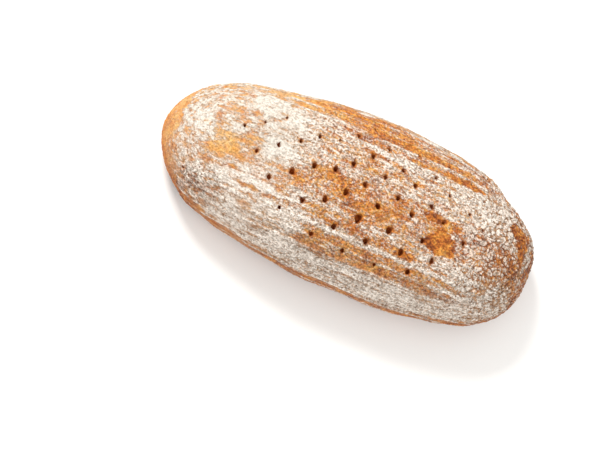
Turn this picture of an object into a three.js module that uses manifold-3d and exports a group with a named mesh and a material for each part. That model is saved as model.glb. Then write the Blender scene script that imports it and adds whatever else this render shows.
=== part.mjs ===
// Oblong rye-wheat loaf, proved in a coiled-cane basket, docked on top and baked
// free-standing on its flat base.  One baked piece: crust and crumb are one solid.
//
// Frame: millimetres, +Z up, +X along the loaf, origin at the centre of the base.
// The loaf is described by one half cross-section (top centre -> side -> base edge
// -> base centre), swept round a straight spine and scaled to the plan outline, so
// the cane rings of the basket are lines of constant distance along that section.
import * as THREE from 'three';
import { ParametricGeometry } from 'three/addons/geometries/ParametricGeometry.js';
import { mergeVertices } from 'three/addons/utils/BufferGeometryUtils.js';
import Module from 'manifold-3d';

// ---------------------------------------------------------------- dimensions
const HALF_WIDTH = 66;          // the half cross-section is drawn at this half width
const SPINE_HALF = 84;          // half length of the straight spine under the crown
const END_DROP = 0.16;          // how much lower the loaf is at its tips
const END_DROP_SPAN = 150;      // distance from mid length at which it is that much lower
const END_DROP_POWER = 2.2;

// half cross-section at mid length: distance from the centre plane, height
const SECTION = [
  [0, 76], [15, 75.3], [30, 72.2], [43.5, 65.6], [54, 55.8], [61.2, 44.2], [65.2, 33],
  [66, 25.5], [64.8, 17.5], [61.3, 9.8], [56.2, 4.0], [50.0, 0.9], [43, 0],
];

// the hand-moulded plan outline: distance from the spine to the widest point of the
// side, at 36 equal steps round the loaf from the left end of the +Y flank
const OUTLINE_STATIONS = [
  52.0, 56.2, 59.9, 62.6, 64.8, 65.9, 65.6, 64.2, 61.9,
  57.9, 55.0, 58.8, 64.0, 63.9, 63.6, 62.5, 59.5, 57.4,
  59.0, 62.7, 64.6, 64.9, 65.1, 65.5, 64.4, 61.6, 58.0,
  54.7, 55.2, 56.3, 59.5, 61.8, 60.2, 56.0, 52.6, 50.8,
];

// basket rings: thin raised ribs where the dough rose between two turns of cane
const RIB_FIRST = 24;           // section distance of the first rib from the crown
const RIB_PITCH = 9;
const RIB_COUNT = 10;
const RIB_HEIGHT = 1.0;         // on the flank; it fades out over the crown
const RIB_FADE_FROM = 20;
const RIB_FADE_TO = 62;
const RIB_OFFSET = 2;           // the rings lie this far off the centre line, towards -Y

// docking holes pushed into the proved dough: x, y on top, mouth radius
const HOLE_DEPTH = 9;
const HOLE_SIDES = 6;
const HOLES = [
  [-23, -43, 1.5], [2, -44.5, 1.4], [27, -44.5, 1.2], [51, -39.5, 1.7], [-51, -35.5, 1.1],
  [-11, -33, 1.8], [14, -33.5, 1.75], [-122, -32, 0.8], [40, -30, 2], [-38.5, -25.5, 1.7],
  [2, -21, 2.5], [63.5, -26.5, 1.6], [-66.5, -20, 1.4], [-24.5, -18.5, 1.8], [26, -20, 2.2],
  [51, -16, 1.65], [-53, -10, 2], [-81.5, -6.5, 1.1], [-12.5, -7.5, 2], [12, -7.5, 1.9],
  [79.5, -6, 1.3], [-40.5, 0.5, 1.7], [-2, 3, 1.7], [37, -3, 1.5], [60.5, 1.5, 1.2], [-96, 7, 1],
  [-69, 4, 1.25], [-26, 4.5, 1.7], [23.5, 4, 1.7], [-83.5, 15, 0.9], [-55.5, 13, 1.2],
  [-15.5, 13.5, 1.6], [9.5, 14, 1.4], [48, 9, 1.5], [89.5, 9, 0.9], [32, 18, 1.5],
  [76.5, 15.5, 0.9], [99.5, 19, 0.8], [-70.5, 25, 0.8], [-44, 22, 1.2], [-30, 25.5, 0.8],
  [-4, 25, 1.5], [20, 25, 1.35], [58, 22, 1], [44.5, 30, 1.2], [84, 30, 0.7], [-18.5, 35.5, 1.3],
  [6, 35, 1.1], [71.5, 38.5, 0.6], [28.5, 41, 1], [53, 43.5, 0.9], [-7.5, 47, 0.8],
];

// mesh density
const SIDE_STEPS = 19;          // along each straight flank
const END_STEPS = 19;           // round each end

// ------------------------------------------------------------- cross-section
const section = new THREE.SplineCurve(SECTION.map(([r, z]) => new THREE.Vector2(r, z)));
section.arcLengthDivisions = 1200;
const SECTION_LENGTH = section.getLength();
const BASE_EDGE = SECTION[SECTION.length - 1][0];
const FULL_LENGTH = SECTION_LENGTH + BASE_EDGE;   // crown to the centre of the base

// radius and height of the half section at distance q from the crown
function sectionAt(q, out) {
  if (q >= SECTION_LENGTH) return out.set(Math.max(FULL_LENGTH - q, 0), 0);
  section.getPointAt(q / SECTION_LENGTH, out);
  if (q === 0) out.x = 0;
  return out;
}

// ------------------------------------------------------------------- outline
const END_RADIUS = 60;          // sets only how points are shared round the ends
const PERIMETER = 4 * SPINE_HALF + 2 * Math.PI * END_RADIUS;

// s runs round the loaf: left to right at +Y, round the right end, back at -Y
function spineAt(s) {
  const a = 2 * SPINE_HALF, b = a + Math.PI * END_RADIUS, c = b + a;
  if (s <= a) return { x: -SPINE_HALF + s, angle: Math.PI / 2 };
  if (s < b) return { x: SPINE_HALF, angle: Math.PI / 2 - (s - a) / END_RADIUS };
  if (s <= c) return { x: SPINE_HALF - (s - b), angle: -Math.PI / 2 };
  return { x: -SPINE_HALF, angle: -Math.PI / 2 - (s - c) / END_RADIUS };
}

// distance from the spine to the plan outline at s: a smooth closed curve through
// the stations
function outlineAt(s) {
  const n = OUTLINE_STATIONS.length, t = (s / PERIMETER) * n;
  const i = Math.floor(t), w = t - i;
  const [p0, p1, p2, p3] = [-1, 0, 1, 2].map((k) => OUTLINE_STATIONS[(((i + k) % n) + n) % n]);
  const v0 = (p2 - p0) / 2, v1 = (p3 - p1) / 2;
  return ((2 * (p1 - p2) + v0 + v1) * w + 3 * (p2 - p1) - 2 * v0 - v1) * w * w + v0 * w + p1;
}

const heightShare = (x) => 1 - END_DROP * Math.abs(x / END_DROP_SPAN) ** END_DROP_POWER;

// ---------------------------------------------------------------------- ribs
function ribHeight(q) {
  const first = RIB_FIRST - RIB_PITCH / 2, last = RIB_FIRST + (RIB_COUNT - 0.5) * RIB_PITCH;
  if (q < first || q > last) return 0;
  const phase = (q - RIB_FIRST) / RIB_PITCH;
  const off = Math.abs(phase - Math.round(phase)) * RIB_PITCH;
  const t = Math.min(Math.max((q - RIB_FADE_FROM) / (RIB_FADE_TO - RIB_FADE_FROM), 0), 1);
  return RIB_HEIGHT * (0.25 + 0.75 * t * t * (3 - 2 * t)) * Math.exp(-((off / 1.9) ** 2));
}

// rows of the surface, crown to base centre: four to a rib
const rows = [0, 8, 16];
for (let i = 0; i < RIB_COUNT; i++) {
  const q = RIB_FIRST + i * RIB_PITCH;
  rows.push(q - 2.1, q, q + 2.1);
  if (i < RIB_COUNT - 1) rows.push(q + RIB_PITCH / 2);
}
rows.push(112, 117, 122, 127, SECTION_LENGTH, SECTION_LENGTH + 14, FULL_LENGTH);

// the rings' offset moves the rib rows outwards on the -Y flank, and not at all on the +Y one
const ribRow = (q) => q > 20 && q < 110;
const offsetAt = (angle) => RIB_OFFSET * (1 - Math.sin(angle));

const columns = [];
for (let i = 0; i < SIDE_STEPS; i++) columns.push((2 * SPINE_HALF * i) / SIDE_STEPS);
for (let i = 0; i < END_STEPS; i++) columns.push(2 * SPINE_HALF + (Math.PI * END_RADIUS * i) / END_STEPS);
const half = [...columns];
for (const s of half) columns.push(s + PERIMETER / 2);
const outline = columns.map(outlineAt);

const flat = new THREE.Vector2();
const beside = new THREE.Vector2();
function loafPoint(u, v, target) {
  const j = Math.round(u * columns.length) % columns.length;
  const i = Math.round(v * (rows.length - 1));
  const { x, angle } = spineAt(columns[j]);
  const rib = ribHeight(rows[i]);
  const q = rows[i] + (ribRow(rows[i]) ? offsetAt(angle) : 0);
  sectionAt(q, flat);
  if (rib > 0) {            // raise the rib square to the section
    sectionAt(q - 0.5, beside);
    const tx = flat.x - beside.x, tz = flat.y - beside.y, n = Math.hypot(tx, tz);
    flat.x += (-tz / n) * rib;
    flat.y += (tx / n) * rib;
  }
  const r = (flat.x * outline[j]) / HALF_WIDTH;
  const onSpine = flat.x === 0;
  const px = onSpine ? x : x + Math.cos(angle) * r;
  const py = onSpine ? 0 : Math.sin(angle) * r;
  target.set(px, py, flat.y * heightShare(px));
}

// --------------------------------------------------------- solids and cutting
const wasm = await Module();
wasm.setup();

// merges shared corners, drops the triangles that close up on the spine, and
// returns the closed mesh as a solid
function solidOf(geometry, matrix = new THREE.Matrix4()) {
  const bare = new THREE.BufferGeometry();
  bare.setAttribute('position', geometry.getAttribute('position').clone());
  bare.setIndex(geometry.getIndex());
  bare.applyMatrix4(matrix);
  const merged = mergeVertices(bare, 1e-3);
  const index = merged.getIndex().array, triVerts = [];
  for (let i = 0; i < index.length; i += 3) {
    const [a, b, c] = [index[i], index[i + 1], index[i + 2]];
    if (a !== b && b !== c && a !== c) triVerts.push(a, b, c);
  }
  return new wasm.Manifold(new wasm.Mesh({
    numProp: 3,
    vertProperties: new Float32Array(merged.getAttribute('position').array),
    triVerts: new Uint32Array(triVerts),
  }));
}

function geometryOf(solid) {
  const mesh = solid.getMesh(), n = mesh.numProp;
  const position = new Float32Array(mesh.numVert * 3);
  for (let i = 0; i < mesh.numVert; i++) {
    position.set(mesh.vertProperties.subarray(i * n, i * n + 3), i * 3);
  }
  const geometry = new THREE.BufferGeometry();
  geometry.setAttribute('position', new THREE.BufferAttribute(position, 3));
  geometry.setIndex(new THREE.BufferAttribute(new Uint32Array(mesh.triVerts), 1));
  geometry.computeVertexNormals();
  return geometry;
}

let body = solidOf(new ParametricGeometry(loafPoint, columns.length, rows.length - 1));
if (body.volume() < 0) throw new Error('the loaf surface faces inwards');

// top surface height over a plan point, from the same section
function topAt(x, y) {
  const mx = Math.min(Math.max(x, -SPINE_HALF), SPINE_HALF);
  const away = Math.hypot(x - mx, y), angle = Math.atan2(y, x - mx);
  let s;
  if (mx > -SPINE_HALF && mx < SPINE_HALF) {
    s = y >= 0 ? mx + SPINE_HALF : 2 * SPINE_HALF + Math.PI * END_RADIUS + (SPINE_HALF - mx);
  } else if (mx > 0) {
    s = 2 * SPINE_HALF + (Math.PI / 2 - angle) * END_RADIUS;
  } else {
    const turned = ((-Math.PI / 2 - angle) % (2 * Math.PI) + 2 * Math.PI) % (2 * Math.PI);
    s = 4 * SPINE_HALF + Math.PI * END_RADIUS + turned * END_RADIUS;
  }
  const r = (away / outlineAt(s)) * HALF_WIDTH;
  let lo = 0, hi = 70;      // the section's radius grows with distance up to here
  for (let i = 0; i < 30; i++) {
    const m = (lo + hi) / 2;
    if (sectionAt(m, flat).x < r) lo = m; else hi = m;
  }
  return sectionAt(lo, flat).y * heightShare(x);
}

const up = new THREE.Vector3(0, 1, 0);
for (const [x, y, radius] of HOLES) {
  const z = topAt(x, y), e = 0.5;
  const normal = new THREE.Vector3(
    (topAt(x - e, y) - topAt(x + e, y)) / (2 * e), (topAt(x, y - e) - topAt(x, y + e)) / (2 * e), 1).normalize();
  const axis = normal.clone().multiplyScalar(0.6).add(new THREE.Vector3(0, 0, 0.4)).normalize();
  const pin = new THREE.CylinderGeometry(Math.max(radius, 1), Math.max(radius * 0.6, 0.7), HOLE_DEPTH + 2, HOLE_SIDES);
  const centre = new THREE.Vector3(x, y, z).addScaledVector(axis, 2 - (HOLE_DEPTH + 2) / 2);
  const place = new THREE.Matrix4().compose(
    centre, new THREE.Quaternion().setFromUnitVectors(up, axis), new THREE.Vector3(1, 1, 1));
  body = body.subtract(solidOf(pin, place));
}

// ---------------------------------------------------------------------- node
const crust = new THREE.MeshStandardMaterial({ color: 0xc68a4c, roughness: 0.85, metalness: 0 });
const loaf = new THREE.Mesh(geometryOf(body), crust);
loaf.name = 'loaf';
loaf.geometry.computeBoundingBox();
const middle = loaf.geometry.boundingBox.getCenter(new THREE.Vector3());
loaf.position.set(-middle.x, -middle.y, 0);   // origin at the centre of the base

const group = new THREE.Group();
group.add(loaf);

export default group;
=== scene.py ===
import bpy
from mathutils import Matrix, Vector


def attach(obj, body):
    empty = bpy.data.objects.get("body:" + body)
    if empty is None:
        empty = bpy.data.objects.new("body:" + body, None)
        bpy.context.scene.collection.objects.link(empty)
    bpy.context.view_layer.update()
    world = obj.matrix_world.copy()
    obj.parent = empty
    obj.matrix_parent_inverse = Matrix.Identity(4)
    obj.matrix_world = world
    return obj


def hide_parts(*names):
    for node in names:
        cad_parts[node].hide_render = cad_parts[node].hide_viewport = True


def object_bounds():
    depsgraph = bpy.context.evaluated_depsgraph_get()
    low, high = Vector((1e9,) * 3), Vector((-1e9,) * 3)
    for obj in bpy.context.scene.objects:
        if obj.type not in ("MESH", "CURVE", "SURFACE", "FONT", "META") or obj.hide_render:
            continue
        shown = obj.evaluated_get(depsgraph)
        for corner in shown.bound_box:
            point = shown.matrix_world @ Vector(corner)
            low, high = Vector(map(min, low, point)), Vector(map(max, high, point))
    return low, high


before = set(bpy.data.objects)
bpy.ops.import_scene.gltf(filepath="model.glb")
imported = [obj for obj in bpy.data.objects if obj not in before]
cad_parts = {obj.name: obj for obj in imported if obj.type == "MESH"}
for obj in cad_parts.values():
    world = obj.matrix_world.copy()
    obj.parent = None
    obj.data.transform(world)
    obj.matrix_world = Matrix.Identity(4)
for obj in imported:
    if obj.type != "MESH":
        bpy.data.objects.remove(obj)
cad_low, cad_high = [[float(v) for v in corner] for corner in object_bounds()]

import math

import bpy
import numpy as np
from mathutils import Matrix

# The loaf's surface is worked out in millimetres, in the same terms as the CAD part:
# a half cross-section swept round a straight spine, scaled to the plan outline.  Ribs,
# lumps, blisters, cracks and the docking holes are real geometry; the finest grain is
# in the material.  Everything is turned into metres when the mesh is made.

PITCH = 0.62      # spacing of the surface's points

HALF_WIDTH = 66.0
SPINE_HALF = 84.0
END_DROP, END_DROP_SPAN, END_DROP_POWER = 0.16, 150.0, 2.2
END_RADIUS = 60.0
PERIMETER = 4 * SPINE_HALF + 2 * math.pi * END_RADIUS

SECTION = np.array([
    [0, 76], [15, 75.3], [30, 72.2], [43.5, 65.6], [54, 55.8], [61.2, 44.2], [65.2, 33],
    [66, 25.5], [64.8, 17.5], [61.3, 9.8], [56.2, 4.0], [50.0, 0.9], [43, 0]], float)
BASE_EDGE = 43.0

OUTLINE_STATIONS = np.array([
    52.0, 56.2, 59.9, 62.6, 64.8, 65.9, 65.6, 64.2, 61.9,
    57.9, 55.0, 58.8, 64.0, 63.9, 63.6, 62.5, 59.5, 57.4,
    59.0, 62.7, 64.6, 64.9, 65.1, 65.5, 64.4, 61.6, 58.0,
    54.7, 55.2, 56.3, 59.5, 61.8, 60.2, 56.0, 52.6, 50.8])

# docking holes: x, y in plan, mouth radius
HOLES = np.array([
    [-23, -43, 1.5], [2, -44.5, 1.4], [27, -44.5, 1.2], [51, -39.5, 1.7], [-51, -35.5, 1.1],
    [-11, -33, 1.8], [14, -33.5, 1.75], [-122, -32, 0.8], [40, -30, 2], [-38.5, -25.5, 1.7],
    [2, -21, 2.5], [63.5, -26.5, 1.6], [-66.5, -20, 1.4], [-24.5, -18.5, 1.8], [26, -20, 2.2],
    [51, -16, 1.65], [-53, -10, 2], [-81.5, -6.5, 1.1], [-12.5, -7.5, 2], [12, -7.5, 1.9],
    [79.5, -6, 1.3], [-40.5, 0.5, 1.7], [-2, 3, 1.7], [37, -3, 1.5], [60.5, 1.5, 1.2], [-96, 7, 1],
    [-69, 4, 1.25], [-26, 4.5, 1.7], [23.5, 4, 1.7], [-83.5, 15, 0.9], [-55.5, 13, 1.2],
    [-15.5, 13.5, 1.6], [9.5, 14, 1.4], [48, 9, 1.5], [89.5, 9, 0.9], [32, 18, 1.5],
    [76.5, 15.5, 0.9], [99.5, 19, 0.8], [-70.5, 25, 0.8], [-44, 22, 1.2], [-30, 25.5, 0.8],
    [-4, 25, 1.5], [20, 25, 1.35], [58, 22, 1], [44.5, 30, 1.2], [84, 30, 0.7], [-18.5, 35.5, 1.3],
    [6, 35, 1.1], [71.5, 38.5, 0.6], [28.5, 41, 1], [53, 43.5, 0.9], [-7.5, 47, 0.8]], float)


# ------------------------------------------------------------------ cross-section
def catmull(points, t):
    """Uniform Catmull-Rom through points with doubled ends, t in 0..len-1."""
    n = len(points)
    i = np.clip(np.floor(t).astype(int), 0, n - 2)
    w = (t - i)[:, None]
    p0 = points[np.clip(i - 1, 0, n - 1)]
    p1, p2 = points[i], points[i + 1]
    p3 = points[np.clip(i + 2, 0, n - 1)]
    v0, v1 = (p2 - p0) / 2, (p3 - p1) / 2
    return ((2 * (p1 - p2) + v0 + v1) * w + 3 * (p2 - p1) - 2 * v0 - v1) * w * w + v0 * w + p1


_dense = catmull(SECTION, np.linspace(0, len(SECTION) - 1, 6001))
_arc = np.concatenate([[0], np.cumsum(np.hypot(*np.diff(_dense, axis=0).T))])
SECTION_LENGTH = float(_arc[-1])
FULL_LENGTH = SECTION_LENGTH + BASE_EDGE


def section_at(q):
    """Radius and height of the half section at distance q from the crown."""
    r = np.interp(q, _arc, _dense[:, 0])
    z = np.interp(q, _arc, _dense[:, 1])
    on_base = q >= SECTION_LENGTH
    return np.where(on_base, np.maximum(FULL_LENGTH - q, 0), r), np.where(on_base, 0, z)


def outline_at(s):
    n = len(OUTLINE_STATIONS)
    t = (s / PERIMETER) * n
    i = np.floor(t).astype(int)
    w = t - i
    p0, p1, p2, p3 = [OUTLINE_STATIONS[(i + k) % n] for k in (-1, 0, 1, 2)]
    v0, v1 = (p2 - p0) / 2, (p3 - p1) / 2
    return ((2 * (p1 - p2) + v0 + v1) * w + 3 * (p2 - p1) - 2 * v0 - v1) * w * w + v0 * w + p1


def spine_at(s):
    a = 2 * SPINE_HALF
    b = a + math.pi * END_RADIUS
    c = b + a
    x = np.where(s <= a, -SPINE_HALF + s, np.where(s < b, SPINE_HALF, np.where(s <= c, SPINE_HALF - (s - b), -SPINE_HALF)))
    angle = np.where(s <= a, math.pi / 2, np.where(
        s < b, math.pi / 2 - (s - a) / END_RADIUS, np.where(s <= c, -math.pi / 2, -math.pi / 2 - (s - c) / END_RADIUS)))
    return x, angle


# ------------------------------------------------------------------------- noise
def _hash(ix, iy, iz, seed):
    with np.errstate(over="ignore"):
        h = (ix.astype(np.uint32) * np.uint32(374761393) + iy.astype(np.uint32) * np.uint32(668265263)
             + iz.astype(np.uint32) * np.uint32(2246822519) + np.uint32(seed * 3266489917 & 0xffffffff))
        h = (h ^ (h >> np.uint32(15))) * np.uint32(2246822519)
        h = (h ^ (h >> np.uint32(13))) * np.uint32(3266489917)
        return h ^ (h >> np.uint32(16))


def noise(p, scale, seed=0):
    """Smooth noise in about -1..1 with features about scale mm across (scale may be three numbers)."""
    f = p / np.asarray(scale, float)
    i = np.floor(f)
    w = f - i
    i = i.astype(np.int64)
    u = w * w * w * (w * (w * 6 - 15) + 10)
    total = 0
    for dx in (0, 1):
        for dy in (0, 1):
            for dz in (0, 1):
                h = _hash(i[..., 0] + dx, i[..., 1] + dy, i[..., 2] + dz, seed)
                gx = (h & np.uint32(1023)).astype(float) / 511.5 - 1
                gy = ((h >> np.uint32(10)) & np.uint32(1023)).astype(float) / 511.5 - 1
                gz = ((h >> np.uint32(20)) & np.uint32(1023)).astype(float) / 511.5 - 1
                dot = gx * (w[..., 0] - dx) + gy * (w[..., 1] - dy) + gz * (w[..., 2] - dz)
                share = ((u[..., 0] if dx else 1 - u[..., 0]) * (u[..., 1] if dy else 1 - u[..., 1])
                         * (u[..., 2] if dz else 1 - u[..., 2]))
                total = total + share * dot
    return total * 1.6


def fbm(p, scale, octaves=3, seed=0, gain=0.5):
    total, amount, norm = 0, 1.0, 0.0
    scale = np.asarray(scale, float)
    for k in range(octaves):
        total = total + amount * noise(p, scale / 2 ** k, seed + 17 * k)
        norm += amount
        amount *= gain
    return total / norm


def cells(p, scale, seed=0):
    """Distances to the nearest and second nearest of scattered points, and a random number for the nearest."""
    f = p / np.asarray(scale, float)
    i = np.floor(f).astype(np.int64)
    w = f - i
    best = np.full(f.shape[:-1], 9.0)
    second = np.full(f.shape[:-1], 9.0)
    tag = np.zeros(f.shape[:-1])
    for dx in (-1, 0, 1):
        for dy in (-1, 0, 1):
            for dz in (-1, 0, 1):
                h = _hash(i[..., 0] + dx, i[..., 1] + dy, i[..., 2] + dz, seed)
                a = (h & np.uint32(1023)).astype(float) / 1023
                b = ((h >> np.uint32(10)) & np.uint32(1023)).astype(float) / 1023
                c = ((h >> np.uint32(20)) & np.uint32(1023)).astype(float) / 1023
                d = np.sqrt((dx + a - w[..., 0]) ** 2 + (dy + b - w[..., 1]) ** 2 + (dz + c - w[..., 2]) ** 2)
                near = d < best
                second = np.where(near, best, np.minimum(second, d))
                tag = np.where(near, (a * 7.3 + b * 3.1 + c * 5.7) % 1.0, tag)
                best = np.where(near, d, best)
    return best, second, tag


def smooth(lo, hi, v):
    t = np.clip((v - lo) / (hi - lo), 0, 1)
    return t * t * (3 - 2 * t)


# ------------------------------------------------------------------ smooth surface
side_steps = round(2 * SPINE_HALF / PITCH)
end_steps = round(math.pi * END_RADIUS / PITCH)
half = np.concatenate([2 * SPINE_HALF * np.arange(side_steps) / side_steps,
                       2 * SPINE_HALF + math.pi * END_RADIUS * np.arange(end_steps) / end_steps])
S = np.concatenate([half, half + PERIMETER / 2])
top_rows = round(SECTION_LENGTH / (PITCH * 0.97))
base_rows = round(BASE_EDGE / (PITCH * 2.4))
Q = np.concatenate([SECTION_LENGTH * np.arange(top_rows) / top_rows,
                    SECTION_LENGTH + BASE_EDGE * np.arange(base_rows + 1) / base_rows])
COLS, ROWS = len(S), len(Q)

spine_x, spine_angle = spine_at(S)
D = outline_at(S)
r0, z0 = section_at(Q)


def surface(radius, height):
    """Points for radius and height arrays that broadcast over rows x columns."""
    r = radius * D[None, :] / HALF_WIDTH
    px = spine_x[None, :] + np.cos(spine_angle)[None, :] * r
    py = np.sin(spine_angle)[None, :] * r
    share = 1 - END_DROP * np.abs(px / END_DROP_SPAN) ** END_DROP_POWER
    return np.stack([px, py, height * share + 0 * px], -1)


P = surface(r0[:, None], z0[:, None])
P[0, :, 0], P[0, :, 1] = spine_x, 0
P[-1, :, 0], P[-1, :, 1] = spine_x, 0

ds = np.roll(P, -1, 1) - np.roll(P, 1, 1)
dq = np.empty_like(P)
dq[1:-1] = P[2:] - P[:-2]
dq[0], dq[-1] = P[1] - P[0], P[-1] - P[-2]
N = np.cross(ds, dq)
N /= np.linalg.norm(N, axis=2, keepdims=True) + 1e-12
if N[ROWS // 4, :, 2].mean() < 0:
    N = -N
N[0] = [0, 0, 1]
on_base = Q >= SECTION_LENGTH
N[on_base] = [0, 0, -1]
x, y, z = P[..., 0], P[..., 1], P[..., 2]
q = Q[:, None] + 0 * x
s = S[None, :] + 0 * x

# distance along the cane rings' family: the basket's rings run straight to x = +-RING_HALF
# and lie a little off the loaf's centre line
RING_HALF, RING_PITCH, RING_FIRST = 104.0, 9.0, 26.0
centre_y = -2.0 + np.where(x < 0, 0.022, 0.012) * x
ring = np.hypot(np.maximum(np.abs(x) - RING_HALF, 0), y - centre_y) + np.maximum(q - np.minimum(r0[:, None], 1e9), 0)
wander = 0.9 * noise(P, (60, 26, 26), 5) + 0.35 * noise(P, (17, 9, 9), 6)
phase = (ring - RING_FIRST + wander) / RING_PITCH
off = (phase - np.round(phase)) * RING_PITCH        # mm to the nearest ring, + outwards
ring_no = np.round(phase)

far = smooth(-0.15, 0.35, y / 66)                    # +Y flank
near = smooth(-0.05, 0.35, -y / 66)
left_tip = smooth(104, 132, -x)
right_tip = smooth(104, 132, x)
flank = smooth(52, 74, q) * (1 - smooth(104, 114, q))
foot = smooth(101, 113, q)                           # smooth band above the base

ring_strength = (smooth(16, 30, ring) * 0.32 + smooth(34, 62, ring) * 0.68) * (1 - foot)
ring_strength *= (1 - 0.75 * left_tip * smooth(66, 80, q)) * (1 - 0.6 * right_tip)
ring_strength *= 0.72 + 0.5 * np.clip(noise(P, (40, 9, 9), 21) + 0.4, -0.6, 1)
ring_strength = np.clip(ring_strength, 0, 1.2)
ridge = np.exp(-((off / 1.35) ** 2))
broken = np.clip(0.75 + 1.1 * noise(P, (24, 7, 7), 23), 0.05, 1.15)
line = broken * np.exp(-((off / 0.9) ** 2))   # the thin floured line on a ridge, worn off in places
trough = 0.5 - 0.5 * np.cos(2 * np.pi * np.clip(np.abs(off) / RING_PITCH, 0, 0.5) * 2) # 0 at ridge, 1 mid

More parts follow.
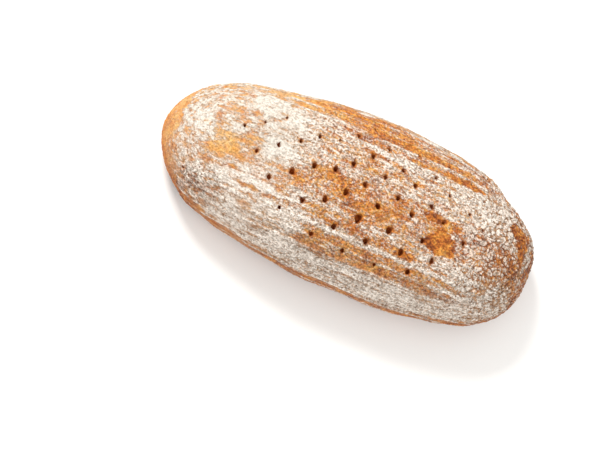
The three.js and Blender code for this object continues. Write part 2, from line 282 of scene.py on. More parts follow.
# --------------------------------------------------------------- flour and crust tone
# patches on the top: x, y, half lengths along and across, turn in degrees, flour, tone
PATCHES = [
    # left end
    (-102, -6, 15, 9, 0, -0.16, -0.20), (-109, -15, 7, 3.5, 0, -0.35, -0.22), (-90, 3, 6, 8, 0, -0.36, 0.12), (-108, -17, 12, 4, -4, -0.34, -0.05),
    (-98, -10, 5, 6, 20, -0.25, -0.10), (-112, 3, 6, 4, 30, -0.2, -0.2), (-106, 7, 5, 3, 0, 0.25, 0.0), (-112, -11, 4, 3, 0, 0.2, 0.0),
    (-92, -11, 7, 5, 0, -0.25, -0.05), (-127, 12, 7, 24, 8, 0.42, 0.0), (-122, -16, 8, 10, 0, 0.25, 0.0),
    (-92, 27, 32, 8, 5, 0.26, 0.0), (-70, 3, 9, 16, 0, 0.34, 0.0), (-84, -33, 36, 11, -3, 0.32, 0.0),
    (-114, -40, 11, 7, -30, -0.34, 0.12), (-98, -46, 12, 4, -18, -0.26, 0.10), (-60, 30, 16, 7, 0, 0.30, 0.0),
    (-112, 14, 8, 5, 0, -0.2, -0.1), (-78, 14, 6, 4, 0, 0.2, 0.0), (-100, -24, 14, 2.2, -3, -0.35, 0.05),
    (-112, -23, 20, 1.4, -2, -0.45, 0.0), (-78, -31, 20, 1.3, -3, -0.50, 0.0), (-84, -36, 24, 1.2, -4, -0.45, 0.0),
    (-62, -27.5, 42, 1.2, -1, 0.45, 0.0), (-88, -33.6, 26, 1.0, -3, 0.40, 0.0), (-80, -42, 22, 1.3, -5, -0.35, 0.0),
    (-72, -39, 24, 1.1, -3, 0.40, 0.0), (-64, -22, 14, 1.2, 0, -0.35, 0.0), (-104, -12, 12, 3, 0, -0.2, -0.1),
    (-60, 9, 16, 7, 0, 0.22, 0.0), (-52, -31, 14, 1.2, 0, -0.4, 0.0),
    # middle
    (-50, -12, 8, 4.5, -10, -0.50, 0.02), (-12, -6, 26, 14, 0, -0.44, 0.0), (24, -9, 30, 13, 0, -0.42, 0.04),
    (-30, 2, 13, 8, 0, -0.30, 0.0), (-6, 17, 26, 5, 0, -0.18, 0.0), (66, -12, 11, 8, 0, -1.2, 0.12), (58, -15, 5, 4, 0, -0.95, 0.08),
    (55, 2, 10, 3.6, 0, -0.92, 0.14), (73, 1, 6, 3.5, 0, -0.85, 0.10), (60, -6, 5, 5, 0, -0.6, 0.10),
    (38, -13, 9, 7, 0, 0.26, 0.0), (10, 0, 5, 4, 0, 0.25, 0.0), (-36, -11, 6, 5, 0, 0.16, 0.0),
    (94, 4, 12, 6, 0, -0.30, 0.32), (40, 6, 8, 6, 0, -0.15, 0.05), (-48, 4, 6, 4, 0, 0.15, 0.0),
    (20, 15, 7, 4, 0, 0.12, 0.0), (-58, -2, 8, 4, 0, 0.2, 0.0),
    (-113, -10, 15, 8, 0, -0.20, -0.04), (-122, 14, 14, 14, 0, -0.08, 0.0),
    # streaks between rings, far side
    (9, 43, 18, 5, 0, -0.28, 0.18),
    (-22, 36, 15, 2.6, 0, -0.50, 0.15), (6, 26.5, 13, 1.5, 0, -0.45, 0.12), (6, 36, 12, 2.4, 0, -0.40, 0.10),
    (36, 36, 11, 2.4, 0, -0.85, 0.06), (64, 36, 16, 2.6, -2, -1.0, 0.12), (32, 45, 14, 3.0, 0, -0.70, 0.02),
    (56, 44, 24, 2.8, -5, -0.62, 0.06), (45, 27, 6, 1.6, 0, -0.3, 0.1), (-4, 46, 36, 3.4, 2, -0.60, -0.08), (-8, 56, 34, 4, 2, -0.35, -0.1), (-10, 41.5, 22, 1.3, 2, -0.4, 0.1), (-60, 41, 26, 1.4, 7, -0.4, -0.1),
    (-20, 50, 40, 4, 0, -0.35, -0.05), (66, 53, 46, 4.5, -6, 0.30, 0.05), (20, 60, 80, 5, 0, 0.10, -0.20), (-84, 44, 30, 6, 12, -0.14, -0.22), (-54, 48, 24, 4, 6, -0.28, -0.15),
    (-60, 22, 10, 2, 0, 0.2, 0.0), (92, 40, 16, 3, -14, -0.35, 0.25), (22, 40.2, 7, 1.8, 0, 0.45, 0.0), (75, 40, 22, 1.2, -3, 0.3, 0.0),
    (25, 31, 45, 2.6, 0, 0.30, 0.0),
    # right end
    (86, 20, 24, 13, 0, 0.40, 0.0), (107, 32, 20, 8, -22, 0.42, 0.0), (121, 22, 12, 4.5, -6, -1.35, 0.02), (122, 15, 7, 5, 0, -1.2, 0.02),
    (122, 8, 4, 5, 0, -1.0, 0.08), (108, -8, 20, 12, 0, -0.24, 0.04), (124, -2, 6, 10, 0, -0.32, 0.0),
    (110, -34, 28, 10, 8, 0.30, -0.05), (103, -30, 5, 2.6, 0, -0.45, 0.12), (85, -43, 7, 2.2, 3, -0.45, 0.15),
    (140, 0, 4, 22, 0, -0.2, 0.05), (133, 7, 4, 14, 0, 0.45, -0.05), (66, -1, 4.5, 3, 0, -0.5, -0.5), (71, -18, 9, 3, 0, -0.4, -0.1), (133, -20, 4, 11, 20, -0.50, 0.04), (104, 40, 22, 6, -30, 0.30, -0.1), (90, -27, 20, 7, 0, 0.22, 0.0),
    (82, -10, 7, 9, 0, -0.10, 0.2), (103, 8, 8, 5, 0, 0.15, 0.1),
    # lower side
    (31, -42, 38, 9, 0, -0.30, -0.02),
    (-5, -29, 28, 3.0, 0, -0.55, 0.04), (39, -30, 9, 3.2, 0, -0.65, 0.22), (5, -36, 72, 2.0, 0, 0.50, 0.0),
    (28, -25.3, 32, 1.3, 0, 0.32, 0.0), (-23, -42, 7, 5, 0, -0.60, -0.05), (56, -41, 14, 2.4, 2, -0.50, 0.12),
    (15, -41.5, 25, 2.0, 0, -0.25, 0.1), (18, -49, 46, 2.3, 2, -0.55, 0.12), (-24, -50, 10, 2.0, -4, -0.45, 0.10),
    (60, -31, 34, 1.2, 1, -0.35, 0.0), (84, -37, 28, 1.3, 2, -0.35, 0.0), (100, -24, 20, 1.2, 4, -0.30, 0.0),
    (72, -34, 30, 1.1, 1, 0.35, 0.0), (92, -40, 26, 1.1, 3, 0.30, 0.0), (-40, -40, 16, 8, 0, 0.25, 0.0), (76, -47, 20, 3, 6, -0.15, 0.2), (0, -56, 95, 4, 0, 0.38, 0.05),
]
flour = np.full_like(x, 0.60)
bare_top = np.zeros_like(x)
tone = np.full_like(x, 0.45)
warp_x = x + 6.0 * noise(P, 22, 31) + 3.0 * noise(P, 8, 33)
warp_y = y + 2.2 * noise(P, (26, 14, 14), 32) + 1.2 * noise(P, 6, 34)
on_top = 1 - smooth(70, 86, q)
ragged = 0.42 * noise(P, (7, 4, 4), 35) + 0.34 * noise(P, (2.6, 1.9, 1.9), 36)
soft = smooth(30, 75, -x)
for (cx, cy, rx, ry, turn, df, dt) in PATCHES:
    c, d = math.cos(math.radians(turn)), math.sin(math.radians(turn))
    ux, uy = (warp_x - cx) * c + (warp_y - cy) * d, -(warp_x - cx) * d + (warp_y - cy) * c
    reach2 = (ux / rx) ** 2 + (uy / ry) ** 2
    g = (np.exp(-0.8 * reach2 ** 1.2) if df > -0.9 else 1 - smooth(0.40, 1.55, reach2 + ragged)) * on_top
    flour += (0.56 * df if df > -0.9 else 0.85 * df) * g * (1 + 0.18 * soft)
    tone += 0.8 * dt * g
    if df <= -0.9:
        bare_top = np.maximum(bare_top, g)

# streaks along the rings, blotches and grain
bend = 3 * np.stack([noise(P, 30, 41), noise(P, 30, 42), noise(P, 30, 43)], -1)
streak = fbm(P + bend, (46, 5.0, 5.0), 3, 44, 0.6)
streak_fine = noise(P + bend, (14, 2.1, 2.1), 47)
blotch = fbm(P, 13, 3, 51, 0.6)
clump = fbm(P, (6.0, 3.0, 3.0), 2, 61, 0.6)
crumbs = fbm(P, (2.2, 1.5, 1.5), 2, 63, 0.7)
coarse = fbm(P, (4.4, 3.8, 3.8), 2, 65, 0.55)
rough_end = smooth(62, 96, x) * (1 - smooth(84, 96, q)) * (1 - 0.75 * smooth(0.35, 0.8, -y / 60))
soft_end = smooth(30, 75, -x)
p1, p2, ptone = cells(P + 1.7 * np.stack([noise(P, 3.6, 141), noise(P, 3.6, 142), noise(P, 3.6, 143)], -1), (4.3, 3.7, 3.7), 144)
pillow = smooth(0.02, 0.40, p2 - p1)
grain = 0.66 * clump + 0.80 * crumbs
fine = 1 - 0.60 * soft_end - 0.18 * rough_end - 0.32 * smooth(40, 60, q) * near - 0.30 * smooth(52, 70, q) * far * (1 - soft_end)
flour += (0.26 * streak + 0.26 * streak_fine) * (1 - 0.55 * rough_end) + (0.20 + 0.12 * soft_end) * blotch + 0.56 * soft_end * fbm(P, (11, 6, 6), 3, 53, 0.60)
flour += ring_strength * (0.30 * line - 0.10 * trough) + 0.05 * smooth(16, 26, ring) * (ridge - 0.4)

# flanks: bare troughs with thin floured ridges, more flour low on the near side
flank_far = smooth(50, 68, q) * smooth(-0.1, 0.5, y / 60)
threads = noise(P + 0.6 * bend, (34, 1.9, 1.9), 48) + 0.6 * noise(P, (16, 1.2, 1.2), 49)
outer = smooth(60, 74, q) * smooth(-0.1, 0.5, y / 60)
flour += flank_far * (-0.38 + 0.80 * threads) + 0.10 * outer * smooth(20, 80, x)
# the far flank's crust is darker along thin threads, and darker overall except towards the left end: that overall
# darkening is painted shade
tone += flank_far * (0.26 + 0.30 * threads - 0.30 * smooth(30, 80, -x)) - 0.05 * outer
flour += 0.20 * flank_far * smooth(30, 80, -x)
# the far limb gets more flour, a paler crust and a grey veil: partly real flour, partly painted shade
limb = smooth(70, 80, q) * (1 - smooth(94, 104, q)) * smooth(0.3, 0.8, y / 60)
flour += 0.13 * limb
near_low = smooth(50, 60, q) * (1 - smooth(76, 90, q)) * smooth(0.1, 0.6, -y / 60)
flour += 0.14 * near_low
low = smooth(80, 92, q)
flour -= 0.50 * low
flour += low * (1 - foot) * line * 0.42 * (1 - 0.55 * near)
tone += 0.22 * smooth(74, 96, q) + 0.12 * near_low
tip_band = smooth(-0.1, 0.5, (-x - 84) / 60) * smooth(62, 84, q + 7 * noise(P, 12, 71) + 10 * streak_fine + 5 * noise(P, 4, 72) - 10 * smooth(0.1, 0.7, y / 60)) * (1 - 0.6 * smooth(0.2, 0.8, -y / 60)) * (1 - smooth(16, 38, y))
flour -= 0.80 * tip_band * (1 - smooth(106, 120, q))
tone -= 0.22 * tip_band * (1 - smooth(96, 112, q))
end_bare = smooth(133, 141, x + 2.5 * noise(P, 9, 74)) * smooth(-36, -20, y) * (1 - smooth(10, 24, y)) * (1 - foot)
flour -= 0.24 * end_bare
tone += 0.04 * end_bare
flour -= 0.9 * foot
tone += 0.12 * foot

tone += 0.16 * blotch + 0.26 * fbm(P, 4.5, 3, 81, 0.65) + 0.10 * streak + 0.06 * rough_end
tone -= 0.10 * ring_strength * ridge
tone += bare_top * (0.34 * fbm(P, (8, 4.5, 4.5), 2, 83) - 0.04)
flour += bare_top * 0.55 * np.clip(fbm(P, (5, 3, 3), 2, 85) - 0.12, 0, 1)

# base: baked on the sole, brown with a worn dusting
base = on_base[:, None] & np.ones_like(x, bool)
base_dust = fbm(P, (26, 26, 26), 4, 91, 0.62)
edge_in = q - SECTION_LENGTH + 4 * noise(P, 14, 93)
flour = np.where(base, 0.10 + 0.6 * base_dust - 0.55 * (1 - smooth(1, 17, edge_in)), flour)
flour += 0.16 * soft_end * on_top * (1 - tip_band) * (0.58 - flour)
macro = flour.copy()
thick = np.clip(0.68 + 0.9 * (macro - 0.42), 0.45, 1.0)
veil = 0.75 * near_low + 0.40 * smooth(30, 50, q) * near
dust_and_flank_shade = np.clip(0.95 * smooth(0.38, 0.80, macro) + 0.55 * veil + 0.62 * outer * (1 - tip_band) + 0.08 * rough_end + 0.36 * soft_end * (1 - tip_band) + 0.25 * flank_far * soft_end + 0.25 * limb, 0, 1) * (1 - 0.7 * end_bare) * (0.15 + 0.85 * smooth(-0.1, 0.35, macro + veil))
tone = np.where(base, 0.80 + 0.25 * fbm(P, 30, 3, 92) + 0.16 * blotch, tone)

tone -= 0.16 * limb
dust_and_flank_shade = np.maximum(dust_and_flank_shade, np.maximum(0.55 * tip_band * (1 - low), 0.60 * limb))

# ------------------------------------------------------------------- displacement
lump = 1.0 * noise(P, 62, 101) + 0.55 * noise(P, 27, 102) + 0.24 * fbm(P, 11, 2, 103)
skin = 0.10 * fbm(P, 4.2, 2, 104, 0.6) + 0.07 * noise(P, 1.9, 105)
d1, d2, tag = cells(P + 1.2 * np.stack([noise(P, 6, 111), noise(P, 6, 112), noise(P, 6, 113)], -1), 5.2, 114)
crack = 1 - smooth(0.02, 0.17, d2 - d1)
cracked = np.clip(smooth(88, 112, x) * (1 - smooth(84, 96, q)) + 0.35 * left_tip * near, 0, 1)
cracked *= 0.45 + 0.55 * smooth(-0.3, 0.5, noise(P, 20, 115))
b1, _, btag = cells(P, 3.4, 121)
blister = np.where(btag > 0.55, np.clip(1 - b1 / 0.5, 0, 1) ** 2, 0)
spec = np.exp(-(((x + 110) / 17) ** 2 + ((y + 39) / 13) ** 2) ** 1.5)
fine += 0.35 * spec
tone += 0.12 * spec
flour += spec * (0.22 + 1.5 * fbm(P, (5, 3.2, 3.2), 3, 57, 0.65))
dust_and_flank_shade *= 1 - 0.6 * spec
flour += 0.46 * grain * fine
flour += rough_end * (0.24 + 0.80 * (pillow - 0.66) + 0.56 * (ptone - 0.5) + 0.42 * coarse)
c1, c2, _ = cells(P + 1.4 * np.stack([noise(P, 7, 151), noise(P, 7, 152), noise(P, 7, 153)], -1), (8.4, 2.9, 2.9), 154)
crackle = (1 - smooth(0.02, 0.16, c2 - c1)) * np.clip(0.5 + 1.2 * noise(P, (22, 10, 10), 155), 0, 1)
crackle *= np.clip(veil + 0.5 * soft_end * near, 0, 1)
flour += 0.30 * np.clip(veil, 0, 1) * noise(P + 0.5 * bend, (15, 1.7, 1.7), 156)
flour -= 0.48 * crackle
flour_skin = smooth(0.35, 0.75, flour)

height = lump + skin
height += ring_strength * (0.95 * ridge - 0.22 * trough)
height += 0.10 * flour_skin + (0.18 * clump + 0.32 * crumbs) * (1 - 0.4 * rough_end) + rough_end * (0.62 * (pillow - 0.6) + 0.34 * coarse) - 0.26 * crackle - 0.55
height += 0.17 * blister * (0.4 + 0.6 * cracked)
height -= 0.42 * crack * cracked
height += 0.16 * (tag - 0.5) * cracked
height *= 1 - 0.55 * foot
fade = 1 - smooth(SECTION_LENGTH - 9, SECTION_LENGTH - 1, q)
height *= fade
P = P + N * height[..., None]

# the base stays flat on the floor: only shallow pits rise from it
pit1, _, ptag = cells(P, 7.5, 131)
pits = np.where(ptag > 0.5, np.clip(1 - pit1 / 0.30, 0, 1), 0) * 0.5 + 0.10 * np.clip(fbm(P, 6, 2, 132), 0, 1)
P[..., 2] = np.where(base, pits * smooth(0, 8, q - SECTION_LENGTH) * (1 - smooth(FULL_LENGTH - 1.5, FULL_LENGTH, q)), np.maximum(P[..., 2], 0))

flour -= 0.75 * crack * cracked
tone += 0.30 * crack * cracked

# ------------------------------------------------------------------ docking holes
hole = np.zeros_like(x)          # 1 inside a hole's wall
rim = np.zeros_like(x)           # 1 at a mouth, 0 away from it
rng = np.random.default_rng(7)
flat_rows = np.where(Q < 75)[0]
for k, (hx, hy, hr) in enumerate(HOLES):
    tall = rng.uniform(1.20, 1.55)
    lean = rng.uniform(0.05, 0.65)
    wob = rng.uniform(-0.12, 0.12, 4)
    depth = rng.uniform(4.2, 6.0) * min(0.25 + 0.5 * hr, 1.1)
    reach = min(3.0 + 1.75 * hr, 6.6)
    t0, t1 = 0.14, 0.20 + 0.135 * min(hr, 2)
    sub = P[flat_rows]
    dist = np.hypot(sub[..., 0] - hx, sub[..., 1] - hy)
    i, j = np.unravel_index(np.argmin(dist + (sub[..., 2] < 20) * 99), dist.shape)
    i = flat_rows[i]
    centre = P[i, j].copy()
    normal = N[i, j] if i > 0 else np.array([0, 0, 1.0])
    axis = 0.6 * normal + np.array([0, 0, 0.4])
    axis /= np.linalg.norm(axis)
    side = np.cross([0, 1.0, 0], normal)
    side /= np.linalg.norm(side)
    along = np.cross(normal, side)
    v = P - centre
    close = np.linalg.norm(v, axis=2) < reach * 1.25
    v = v[close]
    a, b = v @ side, v @ along
    rho = np.hypot(a, b)
    ang = np.arctan2(b, a)
    mouth = hr * 1.06 * (1 + wob[0] * np.cos(ang) + wob[1] * np.sin(ang) + wob[2] * np.cos(3 * ang) + wob[3] * np.sin(3 * ang))
    # taller across the loaf, leaning a little
    e = ang - math.pi / 2 - lean
    mouth = mouth * tall / np.sqrt((tall * np.sin(e)) ** 2 + np.cos(e) ** 2) * 0.90
    t = rho / reach
    inside = t < 1
    wall = np.clip((t - t0) / (t1 - t0), 0, 1)
    new_r = np.where(t < t0, t / t0 * mouth * 0.55,
                     np.where(t < t1, mouth * (0.55 + 0.45 * wall ** 0.6),
                              mouth + (reach - mouth) * (np.clip(t - t1, 0, 1) / (1 - t1)) ** 1.12))
    sink = np.where(t < t1, depth * (1 - wall ** 1.6), 0)
    funnel = 0.22 * hr * np.exp(-((np.maximum(new_r - mouth, 0) / 0.7) ** 2)) - 0.12 * np.exp(-(((new_r - mouth - 1.6) / 0.9) ** 2))
    scale_r = np.where(rho > 1e-6, new_r / np.maximum(rho, 1e-6), 1)
    n_part = v @ normal
    moved = (a * scale_r)[:, None] * side + (b * scale_r)[:, None] * along
    # keep the surface's own curve outside, and follow it down at the mouth
    keep_n = n_part * scale_r ** 2
    keep_n = np.where(t < t1, n_part * 0.3, keep_n)
    target = centre + moved + keep_n[:, None] * normal - (sink + funnel)[:, None] * np.where(t < t1, 1, 0)[:, None] * axis \
        - (funnel * np.where(t < t1, 0, 1))[:, None] * normal
    full = P[close]
    full[inside] = target[inside]
    P[close] = full
    hv = hole[close]
    hv[inside] = np.maximum(hv[inside], smooth(0.0, 0.35, sink[inside] / depth))
    hole[close] = hv
    rv = rim[close]
    rv[inside] = np.maximum(rv[inside], min(hr / 1.6, 1) * np.exp(-((np.maximum(new_r - mouth, 0)[inside] / 0.9) ** 2)))
    rim[close] = rv

flour -= 0.38 * rim
tone += 0.06 * rim

# ----------------------------------------------------------------------- the mesh
shift = np.array([(cad_low[0] + cad_high[0]) / 2 * 1000 - 1.0357, (cad_low[1] + cad_high[1]) / 2 * 1000 - 0.2220, 0])

# the first and last rows fold up on the spine: both flanks share the spine's points
fold = np.concatenate([np.arange(side_steps), np.full(end_steps, side_steps),
                       side_steps - np.arange(side_steps), np.zeros(end_steps, int)])
spine_count = side_steps + 1
first_col = np.array([np.where(fold == k)[0][0] for k in range(spine_count)])


def flatten(field):
    return np.concatenate([field[0][first_col], field[1:-1].reshape((ROWS - 2) * COLS, *field.shape[2:]), field[-1][first_col]])


P[0] = (P[0] + P[0][first_col][fold]) / 2
verts = flatten(P) + shift
index = np.empty((ROWS, COLS), np.int64)
index[0] = fold
index[1:-1] = spine_count + np.arange((ROWS - 2) * COLS).reshape(ROWS - 2, COLS)
index[-1] = spine_count + (ROWS - 2) * COLS + fold

# chart for the baked maps: the top unrolled round the spine, the base beside it
chart_r = np.where(Q < SECTION_LENGTH, Q, SECTION_LENGTH)
cx = spine_x[None, :] + np.cos(spine_angle)[None, :] * chart_r[:, None]
cy = np.sin(spine_angle)[None, :] * chart_r[:, None]
CHART = 2 * (SPINE_HALF + SECTION_LENGTH) + 12
uv_top = np.stack([0.5 + cx / CHART, (cy + SECTION_LENGTH + 6) / CHART], -1)
base_r = FULL_LENGTH - Q
bx = spine_x[None, :] + np.cos(spine_angle)[None, :] * base_r[:, None]
by = np.sin(spine_angle)[None, :] * base_r[:, None]
uv_base = np.stack([0.5 + bx / CHART, (by + 2 * SECTION_LENGTH + 18 + BASE_EDGE) / CHART], -1)

next_col = (np.arange(COLS) + 1) % COLS
rows_a = np.arange(ROWS - 1)
A = index[:-1]
B = index[:-1][:, next_col]
C = index[1:][:, next_col]
Dq = index[1:]
is_base = (np.arange(ROWS - 1) >= top_rows)[:, None] & np.ones((1, COLS), bool)
ut = np.where(is_base[..., None], uv_base[:-1], uv_top[:-1])
ut2 = np.where(is_base[..., None], uv_base[1:], uv_top[1:])
corner_v = np.stack([A, B, C, Dq], -1)
corner_uv = np.stack([ut, ut[:, next_col], ut2[:, next_col], ut2], -2)
quads = corner_v.reshape(-1, 4)
quad_uv = corner_uv.reshape(-1, 4, 2)
top_tri = (quads[:, 0] == quads[:, 1])
end_tri = (quads[:, 2] == quads[:, 3])
plain = ~(top_tri | end_tri)
loops = [quads[plain].reshape(-1)]
uvs = [quad_uv[plain].reshape(-1, 2)]
sizes = [np.full(plain.sum(), 4)]
t1q = quads[top_tri][:, [0, 2, 3]]
loops.append(t1q.reshape(-1)); uvs.append(quad_uv[top_tri][:, [0, 2, 3]].reshape(-1, 2)); sizes.append(np.full(len(t1q), 3))
t2q = quads[end_tri][:, [0, 1, 2]]
loops.append(t2q.reshape(-1)); uvs.append(quad_uv[end_tri][:, [0, 1, 2]].reshape(-1, 2)); sizes.append(np.full(len(t2q), 3))
loops, uvs, sizes = np.concatenate(loops), np.concatenate(uvs), np.concatenate(sizes)

# faces must look outwards
tri = verts[quads[plain][:, :3]]
if np.einsum("ij,ij->i", tri[:, 0], np.cross(tri[:, 1], tri[:, 2])).sum() < 0:
    start = np.concatenate([[0], np.cumsum(sizes)[:-1]])
    pos = np.arange(len(loops)) - np.repeat(start, sizes)
    back = np.repeat(start + sizes, sizes) - 1 - pos
    loops, uvs = loops[back], uvs[back]

mesh = bpy.data.meshes.new("loaf_crust")
mesh.vertices.add(len(verts))
mesh.vertices.foreach_set("co", (verts / 1000).astype(np.float32).ravel())
mesh.loops.add(len(loops))
mesh.loops.foreach_set("vertex_index", loops.astype(np.int32))
mesh.polygons.add(len(sizes))
mesh.polygons.foreach_set("loop_start", np.concatenate([[0], np.cumsum(sizes)[:-1]]).astype(np.int32))
mesh.update(calc_edges=True)
uv_layer = mesh.uv_layers.new(name="OFBake")
uv_layer.data.foreach_set("uv", uvs.astype(np.float32).ravel())
mesh.polygons.foreach_set("use_smooth", np.ones(len(sizes), bool))
for name, field in (("flour", flour), ("thick", thick), ("veil", veil + 0.45 * soft_end + 0.5 * tip_band + 0.7 * limb), ("dust_and_flank_shade", dust_and_flank_shade), ("fine", fine), ("crumb_shade_and_mottle_depth", 0.35 * (1 - soft_end) * (1 - near_low) * (1 - outer) + 0.05 * rough_end + 0.7 * spec + -0.15 * bare_top + 0.2 * veil - 0.30 * outer - 0.75 * smooth(78, 92, q) - 0.7 * tip_band * (1 - low) - 0.60 * soft_end * (1 - spec) * (1 - outer)), ("grey_flour_and_flank_shade", np.clip(0.80 * soft_end * (1 - 0.9 * near) + 0.8 * outer, 0, 0.8)), ("tone", tone), ("hole", hole), ("rim", rim),
                    ("specks", 0.45 + 0.55 * smooth(50, 80, x) + 0.3 * near_low + 0.25 * left_tip * near - 0.3 * tip_band + 0.75 * spec)):
    attribute = mesh.attributes.new(name, "FLOAT", "POINT")
    attribute.data.foreach_set("value", flatten(field).astype(np.float32))
mesh.validate()
loaf = bpy.data.objects.new("loaf_crust", mesh)
bpy.context.scene.collection.objects.link(loaf)


# ---------------------------------------------------------------------- material
def node_tree(name):
    material = bpy.data.materials.new(name)
    material.use_nodes = True
    tree = material.node_tree
    tree.nodes.clear()
    return material, tree


class Graph:
    def __init__(self, tree):
        self.tree = tree

    def put(self, kind, inputs=None, **settings):
        node = self.tree.nodes.new(kind)
        for key, value in settings.items():
            setattr(node, key, value)
        for key, value in (inputs or {}).items():
            socket = node.inputs[key]
            if isinstance(value, bpy.types.NodeSocket):
                self.tree.links.new(value, socket)
            else:
                socket.default_value = value
        return node

    def math(self, op, a, b=0.0, c=0.0, clamp=False):
        node = self.put("ShaderNodeMath", {0: a, 1: b, 2: c}, operation=op, use_clamp=clamp)
        return node.outputs[0]

    def band(self, value, low, high, to_low=0.0, to_high=1.0, kind="SMOOTHSTEP"):
        node = self.put("ShaderNodeMapRange", {"Value": value, "From Min": low, "From Max": high,
                                               "To Min": to_low, "To Max": to_high}, interpolation_type=kind)
        return node.outputs["Result"]

    def noise(self, where, scale, detail=2.0, rough=0.5, distort=0.0):
        node = self.put("ShaderNodeTexNoise", {"Vector": where, "Scale": scale, "Detail": detail,
                                               "Roughness": rough, "Distortion": distort})
        return node.outputs["Fac"]

    def attribute(self, name):
        return self.put("ShaderNodeAttribute", attribute_name=name).outputs["Fac"]

    def mix(self, share, a, b):
        node = self.put("ShaderNodeMix", data_type="RGBA")
        for key, value in ((0, share), (6, a), (7, b)):
            if isinstance(value, bpy.types.NodeSocket):
                self.tree.links.new(value, node.inputs[key])
            else:
                node.inputs[key].default_value = value
        return node.outputs[2]

    def ramp(self, value, stops):
        node = self.put("ShaderNodeValToRGB", {"Fac": value})
        elements = node.color_ramp.elements
        elements[0].position, elements[0].color = stops[0]
        elements[1].position, elements[1].color = stops[-1]
        for position, colour in stops[1:-1]:
            elements.new(position).color = colour
        return node.outputs["Color"]


def srgb(r, g, b):
    return tuple(((c / 255) / 12.92 if c <= 10 else ((c / 255 + 0.055) / 1.055) ** 2.4) for c in (r, g, b)) + (1.0,)


material, tree = node_tree("crust_and_flour")
g = Graph(tree)
where = g.put("ShaderNodeTexCoord").outputs["Object"]
a_flour, a_tone, a_hole, a_specks, a_thick, a_veil, a_dust_and_flank_shade, a_fine, a_crumb_shade_and_mottle_depth, a_grey_flour_and_flank_shade = [
    g.attribute(n) for n in ("flour", "tone", "hole", "specks", "thick", "veil", "dust_and_flank_shade", "fine", "crumb_shade_and_mottle_depth", "grey_flour_and_flank_shade")]

along = g.put("ShaderNodeMapping", {"Vector": where, "Scale": (0.76, 1.0, 1.0)}).outputs[0]
grain_a = g.noise(along, 560.0, 3.0, 0.62, 0.4)
grain_b = g.noise(along, 1200.0, 2.0, 0.6)
grain_c = g.noise(where, 2600.0, 2.0, 0.6)
patch_n = g.noise(where, 120.0, 3.0, 0.6, 0.6)

scatter = g.math("MULTIPLY_ADD", g.math("SUBTRACT", grain_a, 0.5), 2.9, g.math("MULTIPLY", g.math("SUBTRACT", grain_b, 0.5), 2.2))
lift = g.math("MULTIPLY_ADD", scatter, a_fine, a_flour)
hard = g.band(lift, 0.36, 0.64)
haze = g.band(g.math("MULTIPLY_ADD", g.math("MULTIPLY", scatter, a_fine), 0.45, a_flour), -0.12, 0.98)
split = g.math("MULTIPLY_ADD", a_veil, -0.22, 0.64)
cover = g.math("ADD", g.math("MULTIPLY", hard, split), g.math("MULTIPLY", haze, g.math("SUBTRACT", 1.0, split)))
cover = g.math("MULTIPLY", cover, a_thick, clamp=True)

shade = g.math("MULTIPLY_ADD", g.math("SUBTRACT", patch_n, 0.5), 1.0, a_tone)
mottle = g.noise(where, 340.0, 3.0, 0.65, 0.8)
shade = g.math("MULTIPLY_ADD", g.math("SUBTRACT", mottle, 0.5), g.math("MULTIPLY_ADD", a_crumb_shade_and_mottle_depth, 0.9, 1.25), shade)
shade = g.math("MULTIPLY_ADD", g.band(lift, 0.45, -0.35), g.math("MULTIPLY", a_thick, 0.22), shade, clamp=True)
crust = g.ramp(shade, [
    (0.0, srgb(238, 192, 124)), (0.22, srgb(232, 170, 86)), (0.42, srgb(220, 145, 58)),
    (0.60, srgb(202, 118, 42)), (0.80, srgb(168, 88, 32)), (1.0, srgb(112, 56, 24))])
# painted light and shade: grain_b steps the flour between a shaded and a lit white
flour_colour = g.ramp(grain_b, [(0.35, srgb(238, 222, 206)), (0.65, srgb(254, 246, 238))])
# the flour is greyed at the left end and on the far flank; on the far flank this grey is painted shade
flour_colour = g.mix(a_grey_flour_and_flank_shade, flour_colour, srgb(222, 216, 206))
# a breath of flour dulls the crust that shows between the grains; on the far flank and limb this greying is partly
# painted shade
crust = g.mix(g.math("MULTIPLY", a_dust_and_flank_shade, 0.72), crust, srgb(196, 158, 122))
surface_colour = g.mix(cover, crust, flour_colour)

# painted shade: the hollows between the crumbs are painted darker and warmer than their tops, and the tops a touch
# lighter
grit = g.noise(along, 690.0, 2.0, 0.6, 0.3)
crumb_shade = g.band(grit, 0.37, 0.60, 0.50, 1.04, "LINEAR")
# painted shade grows darker where the depth attribute is high; that attribute also sets the crust mottle's strength
crumb_shade = g.math("POWER", crumb_shade, g.math("MULTIPLY_ADD", a_crumb_shade_and_mottle_depth, 0.55, 1.0))
crumb_shade_colour = g.put("ShaderNodeCombineColor", {0: crumb_shade, 1: g.math("POWER", crumb_shade, 1.10), 2: g.math("POWER", crumb_shade, 1.20)}).outputs[0]
darker = g.put("ShaderNodeMix", data_type="RGBA", blend_type="MULTIPLY")
darker.inputs[0].default_value = 1.0
tree.links.new(surface_colour, darker.inputs[6])
tree.links.new(crumb_shade_colour, darker.inputs[7])
surface_colour = darker.outputs[2]

# dark specks: pinholes and grains of bran that the flour didn't cover
speck = g.put("ShaderNodeTexVoronoi", {"Vector": where, "Scale": 300.0, "Randomness": 1.0}, feature="F1")
speck_random = g.put("ShaderNodeSeparateColor", {"Color": speck.outputs["Color"]}).outputs[0]
is_speck = g.math("MULTIPLY", g.band(speck.outputs["Distance"], 0.26, 0.12), g.band(speck_random, 0.30, 0.42, 1.0, 0.0))
is_speck = g.math("MULTIPLY", is_speck, a_specks, clamp=True)
surface_colour = g.mix(g.math("MULTIPLY", is_speck, 0.85), surface_colour, srgb(112, 66, 38))

inside = g.ramp(grain_a, [(0.35, srgb(150, 66, 16)), (0.65, srgb(206, 112, 44))])
surface_colour = g.mix(g.math("MULTIPLY", a_hole, 0.92), surface_colour, inside)

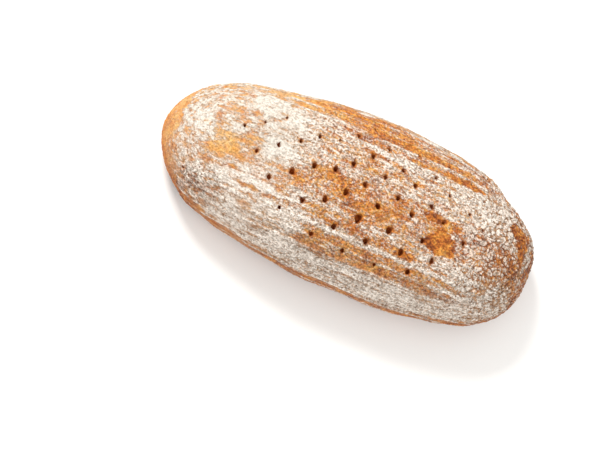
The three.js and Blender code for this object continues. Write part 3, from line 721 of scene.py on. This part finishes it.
rough = g.math("MULTIPLY_ADD", cover, 0.28, 0.62)
rough = g.math("MULTIPLY_ADD", g.math("SUBTRACT", grain_b, 0.5), 0.3, rough, clamp=True)

relief = g.math("MULTIPLY_ADD", grain_a, 1.2, g.math("MULTIPLY", hard, 0.30))
relief = g.math("MULTIPLY_ADD", grit, 1.5, relief)
relief = g.math("MULTIPLY_ADD", grain_b, 0.9, relief)
relief = g.math("MULTIPLY_ADD", grain_c, 0.30, relief)
relief = g.math("MULTIPLY_ADD", is_speck, -0.5, relief)
bump = g.put("ShaderNodeBump", {"Strength": 1.0, "Distance": 0.0010, "Height": relief})

shader = g.put("ShaderNodeBsdfPrincipled", {"Base Color": surface_colour, "Roughness": rough, "Normal": bump.outputs["Normal"]})
shader.inputs["Specular IOR Level"].default_value = 0.3
shader.inputs["Metallic"].default_value = 0.0
out = g.put("ShaderNodeOutputMaterial", {"Surface": shader.outputs["BSDF"]})
mesh.materials.append(material)

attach(loaf, "root")
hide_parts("loaf")

# ------------------------------------------------------------------- floor and light
floor_mesh = bpy.data.meshes.new("floor")
floor_mesh.from_pydata([(-3, -3, 0), (3, -3, 0), (3, 3, 0), (-3, 3, 0)], [], [(0, 1, 2, 3)])
floor = bpy.data.objects.new("floor", floor_mesh)
bpy.context.scene.collection.objects.link(floor)
floor_material, floor_tree = node_tree("pale_floor")
fg = Graph(floor_tree)
floor_shader = fg.put("ShaderNodeBsdfPrincipled", {"Base Color": (0.92, 0.92, 0.915, 1), "Roughness": 0.9})
floor_shader.inputs["Specular IOR Level"].default_value = 0.1
fg.put("ShaderNodeOutputMaterial", {"Surface": floor_shader.outputs["BSDF"]})
floor_mesh.materials.append(floor_material)

world = bpy.data.worlds.new("studio")
world.use_nodes = True
background = world.node_tree.nodes["Background"]
background.inputs["Color"].default_value = (1.0, 0.985, 0.96, 1)
background.inputs["Strength"].default_value = 0.84
bpy.context.scene.world = world


def area(name, place, aim, size, power, colour):
    data = bpy.data.lights.new(name, "AREA")
    data.shape = "RECTANGLE"
    data.size, data.size_y = size
    data.energy = power
    data.color = colour
    light = bpy.data.objects.new(name, data)
    direction = np.array(aim, float) - np.array(place, float)
    direction /= np.linalg.norm(direction)
    back = -direction
    right = np.cross([0, 0, 1.0] if abs(back[2]) < 0.99 else [0, 1.0, 0], back)
    right /= np.linalg.norm(right)
    up = np.cross(back, right)
    m = Matrix([[right[0], up[0], back[0], place[0]], [right[1], up[1], back[1], place[1]],
                [right[2], up[2], back[2], place[2]], [0, 0, 0, 1]])
    light.matrix_world = m
    bpy.context.scene.collection.objects.link(light)


area("key", (-0.74, 0.70, 0.98), (0, 0, 0.03), (0.40, 0.32), 18.4, (1.0, 0.975, 0.94))
area("fill", (0.45, -0.65, 1.25), (0, 0, 0.03), (1.0, 1.0), 5.6, (1.0, 0.99, 0.98))

# ------------------------------------------------------------------------- camera
camera_data = bpy.data.cameras.new("camera")
camera_data.lens = 100.0
camera_data.sensor_width = 36.0
camera_data.sensor_fit = "HORIZONTAL"
camera_data.clip_start, camera_data.clip_end = 0.05, 20
camera = bpy.data.objects.new("camera", camera_data)
place = (np.array([-210.597, -291.865, 1182.868]) + shift) / 1000
turn = np.array([[0.901337, -0.405024, -0.153449], [0.369169, 0.903706, -0.216864], [0.226508, 0.138819, 0.964066]])
camera.matrix_world = Matrix([[*turn[0], place[0]], [*turn[1], place[1]], [*turn[2], place[2]], [0, 0, 0, 1]])
bpy.context.scene.collection.objects.link(camera)
bpy.context.scene.camera = camera

settings = bpy.context.scene.view_settings
settings.view_transform = "Standard"
settings.look = "None"
settings.exposure = 0.0
settings.gamma = 1.0

bpy.context.view_layer.update()
